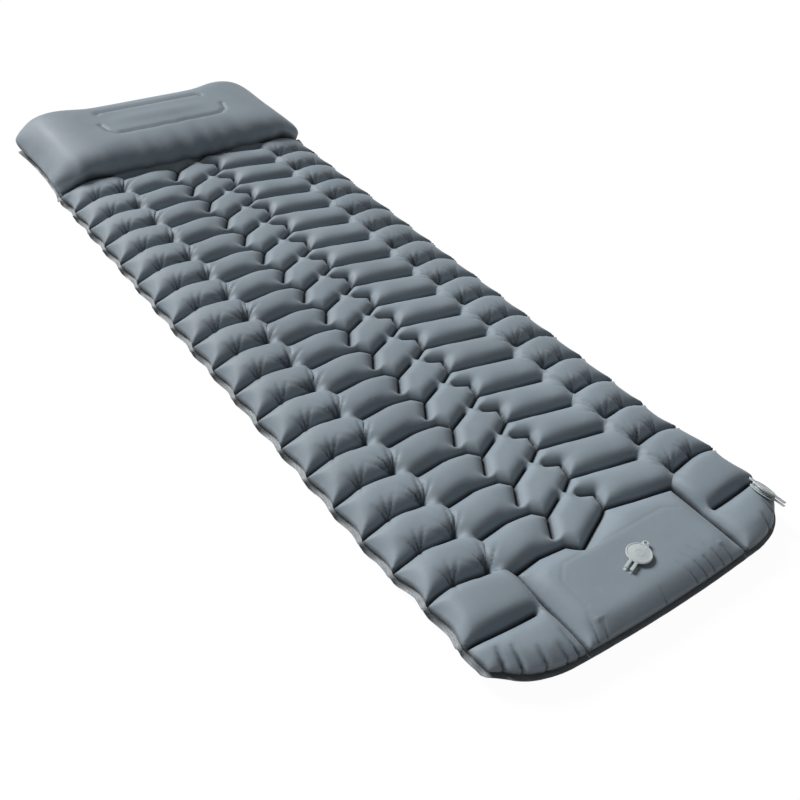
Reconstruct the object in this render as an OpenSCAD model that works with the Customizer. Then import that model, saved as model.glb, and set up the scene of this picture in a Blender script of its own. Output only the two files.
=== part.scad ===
// Inflatable sleeping pad with a pillow, a foam pump and two valves.
// Millimetres, +Z up, +Y towards the pillow, origin under the middle of the pad.

/* [Pad] */
// overall length over the welded rims
pad_length = 2000; // [1800:2100]
// overall width over the welded rims
pad_width = 700; // [600:760]
// height of the middle weld line above the floor
weld_z = 30; // [24:36]
// how far a cell stands above the weld line
cell_rise = 30; // [20:36]
// thickness of one coated sheet
sheet = 1; // [0.8:0.1:1.4]
// width of the flat welded rim
rim = 9; // [6:14]

/* [Cells] */
// distance from one row of welds to the next
row_pitch = 87.5; // [80:95]
// number of full rows of cells
rows = 17; // [14:19]
// distance of the first row of welds from the foot end
first_row = 209; // [190:230]
// distance over which a cell rises from its weld
cell_round = 40; // [30:48]
// how far the foot end bows out past its corners
foot_bow = 57; // [20:70]

/* [Pillow] */
// depth of the pillow, front weld to head rim
pillow_depth = 288; // [240:320]
// how far the pillow stands above the weld line
pillow_rise = 76; // [60:95]

/* [Pump] */
// flat treading panel, across and along the pad
panel_size = [300, 112]; // [80:320]
// distance of the panel's middle from the foot end
panel_from_foot = 93; // [80:110]
// height of the panel's upper face
panel_z = 63; // [55:70]
// corner radius of the panel
panel_corner = 26; // [10:40]
// foam block, across and along the pad
foam_size = [292, 104]; // [80:320]

/* [Valves] */
// radius of the open throat
throat_r = 10; // [8:12]
// outside radius of the collar
collar_r = 13; // [11:15]
// radius of the welded patch
patch_r = 25; // [20:28]
// radius of the cap
cap_r = 22.5; // [20:25]
// thickness of the cap and its straps
cap_t = 2.4; // [1.5:0.1:3]
// distance from the throat to the fold of the straps
fold_x = 42; // [36:48]
// turn of the pump cap about its throat
intake_turn = 19; // [0:45]
// outward lean of the corner valve
corner_lean = 32; // [0:45]

/* [Hidden] */
$fn = 48;
fabric = [0.42, 0.47, 0.50];
plastic = [0.72, 0.74, 0.73];
foam_colour = [0.85, 0.83, 0.70];
half_w = pad_width / 2;
half_l = pad_length / 2;
weld_x = half_w - rim;
row0 = -half_l + first_row;
pillow_y = half_l - pillow_depth;
panel_y = -half_l + panel_from_foot;
// the welds of one row: points measured from the row's own line
star_x = 220;
end_x = 187;
node_left = [-53, -47];
node_right = [46, 2];
strokes = [
    [[-weld_x, 2], [-285, 10]], [[-285, 10], [-star_x, 0]], [[-star_x, 0], [-203, 46]],
    [[-end_x, -27], [-130, -20]], [[-130, -20], [-74, -25]], [[-74, -25], node_left],
    [node_left, [-9, -26]], [node_left, [-80, -88]],
    [[weld_x, 2], [285, 10]], [[285, 10], [star_x, 0]], [[star_x, 0], [203, 46]],
    [[end_x, -26], [110, -12]], [[110, -12], node_right],
    [node_right, [55, 36]], [[55, 36], [28, 48]], [node_right, [14, -18]]];
// the same line as one wavy boundary for the sheet's grid
wave = [[-weld_x, 2], [-285, 10], [-star_x, 0], [-end_x, -27], [-130, -20], [-74, -25],
    node_left, [-9, -26], [28, -9], node_right, [110, -12], [end_x, -26], [star_x, 0],
    [285, 10], [weld_x, 2]];
cols_top = [-half_w, -weld_x, -318, -285, -252, -star_x, -203, -end_x, -158, -130, -102, -74,
    -53, -31, -9, 12, 28, 46, 78, 110, 148, end_x, 203, star_x, 252, 285, 318, weld_x, half_w];
cols_low = [-half_w, -weld_x, -312, -285, -star_x, -end_x, -130, -74, -53, -9, 28, 46, 110,
    end_x, star_x, 285, 312, weld_x, half_w];
cols_pillow = [-half_w, -weld_x, -325, -295, -245, -195, -150, -95, -35, 35, 95, 150, 195, 245,
    295, 325, weld_x, half_w];
// the first row has no neck here, so that the pump's chamber stays shut
pump_seal = [[-9, -26], [14, -18]];
// the pump's outline between the foot cells
pump_x = [-end_x, end_x];
split_y = row0 - 97;

function foot_y(x) = -half_l + foot_bow * (abs(x) < 200 ? 0.10 * pow(abs(x) / 200, 2)
    : 0.10 + 0.90 * pow((abs(x) - 200) / (half_w - 200), 2));
function seg_d(p, a, b) = let (v = b - a, u = p - a,
    s = max(0, min(1, (u * v) / (v * v)))) norm(u - s * v);
function row_d(p) = min([for (s = strokes) seg_d(p, s[0], s[1])]);
function near_d(x, y) = let (k = floor((y - row0) / row_pitch),
    low = max(0, k - 1), high = min(rows - 1, k + 2))
    min([weld_x - abs(x), abs(y - pillow_y), y - foot_y(x) - rim,
        y < row0 + 45 ? min(seg_d([x, y], [-weld_x, split_y], [-end_x, split_y - 8]),
            seg_d([x, y], [weld_x, split_y], [end_x, split_y - 8])) : 999,
        y < row0 + 20 ? min(seg_d([x, y], [-end_x, row0 - 27], [-end_x, -half_l]),
            seg_d([x, y], [end_x, row0 - 27], [end_x, -half_l])) : 999,
        abs(y - row0) < 70 ? seg_d([x, y - row0], pump_seal[0], pump_seal[1]) : 999,
        low > high ? 999 : min([for (i = [low : high]) row_d([x, y - row0 - i * row_pitch])])]);
function rise(d) = d <= 0 ? 0 : let (u = 1 - min(1, d / cell_round)) sqrt(1 - u * u);
function cell_h(x, y) = cell_rise * rise(near_d(x, y));
// grid lines across the pad: the foot, the rows and the pillow line
foot_steps = [0, 0.08, 0.2, 0.36, 0.48, 0.55, 0.7, 0.86];
function foot_line(x, s) = let (a = foot_y(x), b = row0 + lookup(x, wave))
    s == 0 ? a : s < 0.05 ? a + rim : a + rim + (b - a - rim) * s;
function row_line(x, k) = k >= rows ? pillow_y : row0 + k * row_pitch + lookup(x, wave);
function lines(steps) = concat([for (s = foot_steps) [0, s]], [[0, 0.999]],
    [for (k = [0 : rows - 1], s = steps) if (k + s > 0) [1, k + s]], [[1, rows]]);
function line_y(x, line) = line[0] == 0 ? foot_line(x, line[1] > 0.99 ? 1 : line[1])
    : let (k = floor(line[1]), s = line[1] - k)
        s == 0 ? row_line(x, k) : row_line(x, k) * (1 - s) + row_line(x, k + 1) * s;

// a sheet of even thickness over a grid: pts is rows of [x, y, z], keep says which squares exist
module skin(pts, t, keep) {
    nx = len(pts[0]);
    ny = len(pts);
    n = nx * ny;
    flat = [for (r = pts, p = r) p];
    low = [for (p = flat) [p[0], p[1], p[2] - t]];
    function id(i, j) = j * nx + i;
    function has(i, j) = i >= 0 && j >= 0 && i < nx - 1 && j < ny - 1 && keep[j][i] == 1;
    faces = [for (j = [0 : ny - 2], i = [0 : nx - 2]) if (has(i, j))
        each concat(
            [[id(i, j), id(i + 1, j + 1), id(i + 1, j)], [id(i, j), id(i, j + 1), id(i + 1, j + 1)],
             [n + id(i, j), n + id(i + 1, j), n + id(i + 1, j + 1)],
             [n + id(i, j), n + id(i + 1, j + 1), n + id(i, j + 1)]],
            has(i, j - 1) ? [] : [[id(i, j), id(i + 1, j), n + id(i + 1, j)],
                [id(i, j), n + id(i + 1, j), n + id(i, j)]],
            has(i, j + 1) ? [] : [[id(i + 1, j + 1), id(i, j + 1), n + id(i, j + 1)],
                [id(i + 1, j + 1), n + id(i, j + 1), n + id(i + 1, j + 1)]],
            has(i - 1, j) ? [] : [[id(i, j + 1), id(i, j), n + id(i, j)],
                [id(i, j + 1), n + id(i, j), n + id(i, j + 1)]],
            has(i + 1, j) ? [] : [[id(i + 1, j), id(i + 1, j + 1), n + id(i + 1, j + 1)],
                [id(i + 1, j), n + id(i + 1, j + 1), n + id(i + 1, j)]])];
    polyhedron(points = concat(flat, low), faces = faces, convexity = 10);
}

module top_sheet() color(fabric) {
    ls = lines([0, 0.16, 0.38, 0.62, 0.84]);
    foot_n = len(foot_steps);
    pts = [for (l = ls) [for (x = cols_top) let (y = line_y(x, l)) [x, y,
        weld_z + sheet + (abs(x) > weld_x - 0.1 ? 0 : cell_h(x, y))]]];
    keep = [for (j = [0 : len(ls) - 2]) [for (i = [0 : len(cols_top) - 2])
        j < foot_n && cols_top[i] > pump_x[0] - 1 && cols_top[i + 1] < pump_x[1] + 1 ? 0 : 1]];
    difference() {
        skin(pts, sheet, keep);
        at_corner() translate([0, 0, -14]) cylinder(r = patch_r + 0.2, h = 44);
    }
}

function low_h(x, y) = (weld_z - sheet) * (y < row0 - 20 && abs(x) < end_x - 1
    ? rise(min(y - foot_y(x) - rim, (end_x - abs(x))) * 1.4)
    : y > pillow_y ? rise(1.3 * min(min(y - pillow_y, half_l - rim - y), weld_x - abs(x)))
    : rise(1.25 * near_d(x, y)));
module bottom_sheet() color(fabric * 0.9) {
    ls = lines([0, 0.25, 0.5, 0.75]);
    head = [for (s = [0.06, 0.2, 0.5, 0.8, 0.94]) s];
    pts = concat([for (l = ls) [for (x = cols_low) let (y = line_y(x, l)) [x, y,
            weld_z - (abs(x) > weld_x - 0.1 ? 0 : low_h(x, y))]]],
        [for (s = head) [for (x = cols_low) let (y = pillow_y + s * (pillow_depth - rim)) [x, y,
            weld_z - (abs(x) > weld_x - 0.1 ? 0 : low_h(x, y))]]],
        [[for (x = cols_low) [x, half_l - rim, weld_z]], [for (x = cols_low) [x, half_l, weld_z]]]);
    skin(pts, sheet, [for (j = [1 : len(pts) - 1]) [for (i = [1 : len(cols_low) - 1]) 1]]);
}

function crown(x, s) = pow(max(0, 1 - pow(abs(2 * s - 1), 2.4)), 0.5)
    * pow(max(0, 1 - pow(abs(x) / weld_x, 7)), 0.5);
function channel(x, s) = abs(x) > 151 ? 0 : (s == 0.33 || s == 0.77) ? 12
    : s > 0.33 && s < 0.77 ? 5 : 0;
module pillow_panel() color(fabric) {
    depth = pillow_depth - rim;
    steps = [0, 0.035, 0.12, 0.25, 0.33, 0.4, 0.55, 0.7, 0.77, 0.84, 0.92, 0.98, 1];
    pts = concat([for (s = steps) [for (x = cols_pillow) [x, pillow_y + s * depth, weld_z + sheet
            + (abs(x) > weld_x - 0.1 ? 0 : pillow_rise * crown(x, s) - channel(x, s))]]],
        [[for (x = cols_pillow) [x, half_l, weld_z + sheet]]]);
    skin(pts, sheet, [for (j = [1 : len(pts) - 1]) [for (i = [1 : len(cols_pillow) - 1]) 1]]);
}

// outline of the pump chamber and of its panel, point for point, on a square of -1 to 1:
// the foot edge, one side, the edge of the top sheet's opening and the other side
pump_side = [-0.7, -0.35, 0, 0.35, 0.7];
pump_q = concat([for (i = [-5 : 5]) [i / 5, -1]], [for (v = pump_side) [1, v]],
    [for (i = [1 : len(cols_top)]) let (x = cols_top[len(cols_top) - i])
        if (abs(x) <= end_x) [x / end_x, 1]],
    [for (v = pump_side) [-1, -v]]);
pump_n = len(pump_q);
function pump_out(i) = let (q = pump_q[i], x = q[0] * end_x, low = foot_y(x),
        high = row0 + lookup(x, wave)) [x, low + (high - low) * (q[1] + 1) / 2];
function pump_in(i) = let (q = pump_q[i], r = panel_corner, d = q / norm(q))
    [(panel_size[0] / 2 - r) * q[0] + r * d[0], panel_y + (panel_size[1] / 2 - r) * q[1] + r * d[1]];

module loft(loops, t) {
    m = len(loops);
    n = len(loops[0]);
    up = [for (l = loops, p = l) p];
    low = [for (p = up) [p[0], p[1], p[2] - t]];
    function id(i, j) = j * n + (i % n);
    faces = concat([for (j = [0 : m - 2], i = [0 : n - 1]) each [
            [id(i, j), id(i, j + 1), id(i + 1, j + 1)], [id(i, j), id(i + 1, j + 1), id(i + 1, j)],
            [m * n + id(i, j), m * n + id(i + 1, j + 1), m * n + id(i, j + 1)],
            [m * n + id(i, j), m * n + id(i + 1, j), m * n + id(i + 1, j + 1)]]],
        [for (i = [0 : n - 1]) each [[id(i, 0), id(i + 1, 0), m * n + id(i + 1, 0)],
            [id(i, 0), m * n + id(i + 1, 0), m * n + id(i, 0)],
            [id(i, m - 1), m * n + id(i + 1, m - 1), id(i + 1, m - 1)],
            [id(i, m - 1), m * n + id(i, m - 1), m * n + id(i + 1, m - 1)]]]);
    polyhedron(points = concat(up, low), faces = faces, convexity = 6);
}

module pump_skirt() color(fabric) {
    high = panel_z - weld_z - 2 * sheet;
    loft([for (s = [0, 0.12, 0.3, 0.55, 0.8, 1]) [for (i = [0 : pump_n - 1])
        let (a = pump_out(i), b = pump_in(i), mid = [0, panel_y],
            c = b + (b - mid) / norm(b - mid) * 0.5, p = a + (c - a) * s)
        [p[0], p[1], weld_z + 2 * sheet + high * sin(90 * s)]]], sheet);
}

module pump_floor() color(fabric * 0.8)
    translate([0, 0, weld_z]) linear_extrude(sheet) difference() {
        polygon([for (i = [0 : pump_n - 1]) let (p = pump_out(i), m = [0, panel_y])
            m + (p - m) * 0.985]);
        translate([panel_size[0] / 4, panel_y]) circle(r = 7);
    }

module rounded(size, r, h)
    linear_extrude(h) hull() for (sx = [-1, 1], sy = [-1, 1])
        translate([sx * (size[0] / 2 - r), sy * (size[1] / 2 - r)]) circle(r = r);

module pump_panel() color(fabric)
    translate([0, panel_y, panel_z - sheet]) difference() {
        linear_extrude(sheet) polygon([for (i = [0 : pump_n - 1]) pump_in(i) - [0, panel_y]]);
        translate([0, 0, -1]) cylinder(r = collar_r, h = sheet + 2);
    }

module pump_foam() color(foam_colour)
    translate([0, panel_y, 0]) difference() {
        translate([0, 0, weld_z + sheet + 0.4])
            rounded(foam_size, 18, panel_z - weld_z - 2 * sheet - 0.8);
        translate([0, 0, panel_z - 22]) cylinder(r = patch_r + 2, h = 30);
        translate([panel_size[0] / 4, 0, weld_z]) cylinder(r = 12, h = 20);
        translate([0, -5, weld_z]) cube([panel_size[0] / 4, 10, 18]);
        cylinder(r = 12, h = 90);
    }

// both valves are drawn about their own throat, with z = 0 on the sheet's upper face
module at_intake() translate([0, panel_y, panel_z]) rotate([0, 0, intake_turn]) children();
module at_corner() translate([316, row0 - 127, 54.5]) rotate([0, corner_lean, 0])
    rotate([0, 0, 100]) children();

module patch() color(plastic) translate([0, 0, -sheet - 1.2]) difference() {
    cylinder(r = patch_r, h = 1.2);
    translate([0, 0, -1]) cylinder(r = collar_r, h = 4);
}
module collar() color(plastic) translate([0, 0, -sheet - 5]) difference() {
    cylinder(r = collar_r, h = sheet + 9);
    translate([0, 0, -1]) cylinder(r = throat_r, h = 20);
}
module seat() color(plastic) translate([0, 0, -sheet - 6.2]) difference() {
    cylinder(r = collar_r, h = 1.2);
    for (a = [0 : 90 : 270]) rotate([0, 0, a + 45]) translate([5.2, 0, -1])
        cylinder(r = 2.6, h = 4);
}
module flap() color(plastic * 0.8) translate([0, 0, -sheet - 7.3]) union() {
    cylinder(r = 9.2, h = 0.8);
    translate([-11, -3, 0]) cube([4, 6, 0.8]);
}
module leash() color(plastic) {
    difference() {
        union() {
            cylinder(r = collar_r + 4, h = 1.6);
            for (s = [-1, 1]) translate([-fold_x, s * 5 - 2.6, 0]) cube([fold_x - 12, 5.2, 1.6]);
            for (s = [-1, 1]) translate([-fold_x, s * 5 + 2.6, 3.8]) rotate([90, 0, 0])
                difference() {
                    cylinder(r = 3.8, h = 5.2);
                    translate([0, 0, -1]) cylinder(r = 2.2, h = 8);
                    translate([0, -5, -1]) cube([8, 10, 8]);
                    rotate([0, 0, 45]) translate([-10, 0, -1]) cube([20, 10, 8]);
                }
        }
        translate([0, 0, -1]) cylinder(r = collar_r + 0.05, h = 4);
    }
}
module cap() color(plastic) {
    translate([0, 0, 5.2]) difference() {
        union() {
            cylinder(r = cap_r, h = cap_t);
            hull() {
                translate([15, 0, 0]) cylinder(r = 8, h = cap_t);
                translate([27, 0, 0]) cylinder(r = 6, h = cap_t);
            }
            for (s = [-1, 1]) translate([-fold_x, s * 5 - 2.6, 0]) cube([fold_x - 14, 5.2, cap_t]);
        }
        translate([27, 0, -1]) cylinder(r = 2.6, h = cap_t + 2);
    }
    // the ring that snaps over the collar
    translate([0, 0, 2.2]) difference() {
        cylinder(r = collar_r + 2.3, h = 3.1);
        translate([0, 0, -1]) cylinder(r = collar_r + 0.3, h = 4);
    }
}

module intake_patch() at_intake() patch();
module intake_collar() at_intake() collar();
module intake_seat() at_intake() seat();
module intake_flap() at_intake() flap();
module intake_leash() at_intake() leash();
module intake_cap() at_intake() cap();
module corner_patch() at_corner() patch();
module corner_collar() at_corner() collar();
module corner_seat() at_corner() seat();
module corner_flap() at_corner() flap();
module corner_leash() at_corner() leash();
module corner_cap() at_corner() cap();

module transfer_seat() color(plastic)
    translate([panel_size[0] / 4, panel_y, weld_z - 1.6]) difference() {
        cylinder(r = 15, h = 1.6);
        for (a = [0 : 90 : 270]) rotate([0, 0, a]) translate([3.4, 0, -1])
            cylinder(r = 2.1, h = 4);
    }
module transfer_flap() color(plastic * 0.8)
    translate([panel_size[0] / 4, panel_y, weld_z - 2.7]) union() {
        cylinder(r = 9.2, h = 0.8);
        translate([-11, -3, 0]) cube([4, 6, 0.8]);
    }

bottom_sheet();
top_sheet();
pillow_panel();
pump_floor();
pump_skirt();
pump_foam();
pump_panel();
intake_patch();
intake_collar();
intake_seat();
intake_flap();
intake_leash();
intake_cap();
transfer_seat();
transfer_flap();
corner_patch();
corner_collar();
corner_seat();
corner_flap();
corner_leash();
corner_cap();
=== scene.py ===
"""The looks of an inflatable sleeping pad: blown-up cells, pillow, pump cushion, rim and valves."""

import math

import bpy
import numpy as np
from mathutils import Matrix, Vector, noise
from mathutils.geometry import delaunay_2d_cdt


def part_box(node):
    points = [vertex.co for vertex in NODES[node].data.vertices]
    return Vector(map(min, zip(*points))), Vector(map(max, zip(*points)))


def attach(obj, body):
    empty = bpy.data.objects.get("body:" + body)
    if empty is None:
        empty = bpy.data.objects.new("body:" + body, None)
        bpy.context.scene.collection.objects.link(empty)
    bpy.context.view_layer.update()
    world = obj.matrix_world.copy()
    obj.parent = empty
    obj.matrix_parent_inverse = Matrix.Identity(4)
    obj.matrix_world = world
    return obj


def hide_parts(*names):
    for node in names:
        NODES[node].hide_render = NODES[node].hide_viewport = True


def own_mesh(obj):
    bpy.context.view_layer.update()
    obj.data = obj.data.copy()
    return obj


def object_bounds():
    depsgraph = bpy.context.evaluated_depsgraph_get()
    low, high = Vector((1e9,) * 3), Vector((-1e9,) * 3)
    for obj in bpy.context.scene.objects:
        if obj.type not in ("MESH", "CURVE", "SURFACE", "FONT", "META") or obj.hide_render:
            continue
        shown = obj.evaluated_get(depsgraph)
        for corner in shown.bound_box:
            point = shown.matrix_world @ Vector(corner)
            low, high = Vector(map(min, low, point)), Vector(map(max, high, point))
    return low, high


bl_info = {
    "name": "Inflatable sleeping pad",
    "version": (1, 0, 0),
    "blender": (4, 5, 0),
    "location": "View3D > Sidebar > Sleeping pad",
    "description": "Builds the fabric, rim, valves and stage of an inflatable sleeping pad",
    "category": "Add Mesh",
}

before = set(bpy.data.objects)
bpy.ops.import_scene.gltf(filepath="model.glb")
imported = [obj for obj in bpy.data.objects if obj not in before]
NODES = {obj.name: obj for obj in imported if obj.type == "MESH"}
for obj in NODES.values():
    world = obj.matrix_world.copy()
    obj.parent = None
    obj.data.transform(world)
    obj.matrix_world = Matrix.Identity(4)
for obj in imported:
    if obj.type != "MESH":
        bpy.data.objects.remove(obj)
CAD_LOW, CAD_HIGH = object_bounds()
MM = 0.001

# the pad's plan, in millimetres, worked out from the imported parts
HALF_W = CAD_HIGH.x / MM
HALF_L = CAD_HIGH.y / MM
PILLOW_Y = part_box("pillow_panel")[0].y / MM
WELD_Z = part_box("bottom_sheet")[1].z / MM + 1
PANEL_LOW, PANEL_HIGH = (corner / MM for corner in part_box("pump_panel"))
PANEL_Z = PANEL_HIGH.z
PANEL_Y = (PANEL_LOW.y + PANEL_HIGH.y) / 2
PUMP_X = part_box("pump_skirt")[1].x / MM
PILLOW_TOP = CAD_HIGH.z / MM + 10.5
FIRST_ROW = 209
ROW_0 = -HALF_L + FIRST_ROW
ROWS = 17
FOOT_BOW = 57
FOOT_FLAT = 200
STAR_X = 220
SPLIT_Y = ROW_0 - 97
# the cells' full height over their welds, and how far and from where the outer ones hang
CELL_HIGH = 36
HANG = 17
HANG_FROM = 215
# how far the long edges are drawn in between the welds' ends, and along the pillow
EDGE_PULL = 10
PILLOW_PULL = 13
# how far the foot's corners are drawn in along X and Y, and how far from them it shows
CORNER_IN, CORNER_UP = 7, 11
CORNER_REACH = 42
# the welded ring and the throat of the intake valve
PATCH_R = 25
THROAT_R = 13.2
# the welds of one row of cells, measured from the row's own line
SIDE_WELD = [(1, 2), (285, 10), (STAR_X, 0)]
LEFT_WELD = [(-187, -27), (-130, -20), (-74, -25), (-53, -47), (-9, -26)]
RIGHT_WELD = [(187, -26), (110, -12), (46, 2), (55, 36), (28, 48)]
LEFT_WALL = [(-53, -47), (-80, -88)]
RIGHT_WALL = [(46, 2), (14, -18)]
PUMP_HEAD = [(-187, -27), (-130, -20), (-74, -25), (-53, -47), (-9, -26), (28, -9), (46, 2),
             (110, -12), (187, -26)]


class PadSizes(bpy.types.PropertyGroup):
    row_pitch: bpy.props.FloatProperty(
        name="Row pitch", description="Distance from one row of welds to the next, in mm",
        default=87.5, min=80, max=95)
    rim_width: bpy.props.FloatProperty(
        name="Rim width", description="Width of the flat welded rim, in mm",
        default=9, min=6, max=14)
    cloth_step: bpy.props.FloatProperty(
        name="Cloth step", description="Distance between the cloth's points, in mm",
        default=7.5, min=5, max=14)
    pressure: bpy.props.FloatProperty(
        name="Air pressure", description="Pressure that blows the sheets up",
        default=4000, min=500, max=8000)
    pucker: bpy.props.FloatProperty(
        name="Pucker depth", description="Depth of the creases round each star weld, in mm",
        default=4.0, min=0, max=6)


class PadFinish(bpy.types.PropertyGroup):
    fabric: bpy.props.FloatVectorProperty(
        name="Fabric", description="Colour of the coated nylon",
        subtype="COLOR", size=3, default=(0.235, 0.282, 0.322), min=0, max=1)
    rim: bpy.props.FloatVectorProperty(
        name="Rim", description="Colour of the pressed rim",
        subtype="COLOR", size=3, default=(0.22, 0.245, 0.265), min=0, max=1)
    valve: bpy.props.FloatVectorProperty(
        name="Valve", description="Colour of the soft valve plastic",
        subtype="COLOR", size=3, default=(0.50, 0.545, 0.55), min=0, max=1)
    foam: bpy.props.FloatVectorProperty(
        name="Foam", description="Colour of the pump's foam",
        subtype="COLOR", size=3, default=(0.80, 0.76, 0.60), min=0, max=1)


# where the two valves sit: on the treading panel, and tilted on the right foot corner
INTAKE_TURN = math.radians(19)
CORNER_PLACE = (316 * MM, -918 * MM, 54.5 * MM)
CORNER_TILT, CORNER_TURN = math.radians(32), math.radians(100)
VALVE_SEATS = {
    "intake": Matrix.Translation((0, PANEL_Y * MM, PANEL_Z * MM))
    @ Matrix.Rotation(INTAKE_TURN, 4, "Z"),
    "corner": Matrix.Translation(CORNER_PLACE)
    @ Matrix.Rotation(CORNER_TILT, 4, "Y") @ Matrix.Rotation(CORNER_TURN, 4, "Z"),
}
# the raised beads on a cap, in mm: place along its tab, height, radius and half width
CAP_BEADS = ((0, 7.5, 20.6, 0.7), (0, 7.5, 7, 0.45), (27, 7.5, 4, 0.8))

# the camera's place, its right-hand side and its view, and the way the sunlight falls
CAMERA_PLACE = (-1.0155, -1.4770, 1.2469)
CAMERA_RIGHT = Vector((0.80656, -0.58547, 0.08167))
CAMERA_FORWARD = Vector((0.49249, 0.58913, -0.64061))
SUN_FALL = Vector((0.28, -1.0, -0.78))

# the short folds at the foot, in mm: where each starts on the weld, its lean and its reach
CELL_FOLDS = ((-322, 8, 30), (-298, 6, 34), (-262, 2, 26), (-225, -4, 22), (-205, -4, 40),
              (300, -6, 24), (262, 2, 22))
PUMP_FOLDS = ((60, -14, 40), (84, -18, 46), (104, -16, 50), (128, -14, 44), (150, -10, 36),
              (-20, 6, 20), (-150, 12, 26), (-168, 14, 40))
# the short folds that run from the outer pit of a row's weld, in mm from the row's line
PIT_FOLDS = ((300, 40), (276, 44), (258, 36), (297, -14))
PIT = (285, 10)
# the two lines pressed into the pillow, in mm from its front weld
NEAR_LINE = ((-168, 138), (-162, 104), (-144, 88), (146, 88), (168, 102), (176, 130))
FAR_LINE = ((-152, 198), (-140, 203), (138, 203), (150, 198))


def sizes():
    return bpy.context.scene.pad_sizes


def finish_colour(name):
    return tuple(getattr(bpy.context.scene.pad_finish, name)) + (1,)


# ---------------------------------------------------------------- the plan

def foot_y(x):
    """The foot edge of the pad, which bows out in the middle."""
    x = abs(x)
    share = 0.1 * (x / FOOT_FLAT) ** 2
    if x >= FOOT_FLAT:
        share = 0.1 + 0.9 * ((x - FOOT_FLAT) / (HALF_W - FOOT_FLAT)) ** 2
    return -HALF_L + FOOT_BOW * share


def foot_weld_y(x):
    """The weld along the foot edge, inside the rim."""
    return foot_y(x) + sizes().rim_width


def weld_x():
    """The weld along the long edges, inside the rim."""
    return HALF_W - sizes().rim_width


def row_y(k):
    """The line that row k's welds are measured from."""
    return ROW_0 + k * sizes().row_pitch


def row_welds(k):
    """The weld strokes of row k as lists of points. The last one lies against the pillow."""
    strokes = []
    for side in (-1, 1):
        reach = [(weld_x(), SIDE_WELD[0][1])] + SIDE_WELD[1:]
        strokes.append([(side * x, y) for x, y in reach])
    if k > 0:
        strokes += [LEFT_WELD, LEFT_WALL, RIGHT_WALL]
        strokes.append(RIGHT_WELD if k < ROWS else RIGHT_WELD[:3])
    else:
        strokes.append(RIGHT_WELD[2:])
    return [[(x, row_y(k) + y) for x, y in s] for s in strokes]


def cell_welds():
    strokes = [s for k in range(ROWS + 1) for s in row_welds(k)]
    for side in (-1, 1):
        strokes.append([(side * weld_x(), SPLIT_Y), (side * (PUMP_X + 26), SPLIT_Y - 6)])
    return strokes


def eased(share, height=1):
    """height times a share that leaves 0 and reaches 1 smoothly."""
    return height * share * share * (3 - 2 * share)


def droop(co):
    """How far the outer cells hang below the weld plane, in mm.

    The foot's corners and the pillow's top don't hang."""
    out = np.clip((np.abs(co[:, 0]) - HANG_FROM) / (weld_x() - HANG_FROM), 0, 1)
    along = np.clip((co[:, 1] - ROW_0 - 20) / 110, 0, 1)
    high = np.clip((co[:, 2] - WELD_Z - CELL_HIGH) / CELL_HIGH, 0, 1)
    return eased(along, eased(out, HANG)) * (1 - high)


def pump_outline():
    """The outline of the pump's cushion: foot weld, side, row of cells, side."""
    foot = [(x, foot_weld_y(x)) for x in np.linspace(-PUMP_X, PUMP_X, 25)]
    return foot + [(x, ROW_0 + y) for x, y in reversed(PUMP_HEAD)]


def cell_outline():
    """The outline of the sheet of cells, with the pump's opening at the foot."""
    left = [(x, foot_weld_y(x)) for x in np.linspace(-weld_x(), -PUMP_X, 12)]
    right = [(x, foot_weld_y(x)) for x in np.linspace(PUMP_X, weld_x(), 12)]
    return left + [(x, ROW_0 + y) for x, y in PUMP_HEAD] + right + [
        (weld_x(), PILLOW_Y), (-weld_x(), PILLOW_Y)]


def head_weld_y():
    """The weld along the pillow's far edge, inside the rim."""
    return HALF_L - sizes().rim_width


def whole_outline():
    """The weld that runs round the whole pad."""
    foot = [(x, foot_weld_y(x)) for x in np.linspace(-weld_x(), weld_x(), 41)]
    return foot + [(weld_x(), head_weld_y()), (-weld_x(), head_weld_y())]


def edge_shift(y):
    """How far the long edges are drawn in between the weld ends, in mm, and how far they lift."""
    y = np.asarray(y, float)
    phase = (y - ROW_0 - 2) / sizes().row_pitch
    between = np.abs(np.sin(math.pi * phase)) ** 0.8
    inside = np.clip((y - SPLIT_Y + 20) / 60, 0, 1) * np.clip((PILLOW_Y - y) / 40, 0, 1)
    pillow = np.clip((y - PILLOW_Y) / (HALF_L - PILLOW_Y), 0, 1)
    pull = EDGE_PULL * between * inside + PILLOW_PULL * np.sin(math.pi * pillow) ** 0.5
    return pull, (2.5 * np.sin(2 * math.pi * phase) - 3 * between) * inside


def distance_to(points, strokes):
    """Distance in mm from each point to the nearest stroke."""
    near = np.full(len(points), 1e9)
    for stroke in strokes:
        for a, b in zip(stroke, stroke[1:]):
            a, v = np.array(a, float), np.subtract(b, a).astype(float)
            u = points - a
            s = np.clip(u @ v / max(v @ v, 1e-9), 0, 1)
            near = np.minimum(near, np.hypot(*(u - s[:, None] * v).T))
    return near


def spaced(a, b, step):
    """Points from a to b, about step apart."""
    n = max(1, round(math.dist(a, b) / step))
    return [(a[0] + (b[0] - a[0]) * i / n, a[1] + (b[1] - a[1]) * i / n) for i in range(n + 1)]


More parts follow.
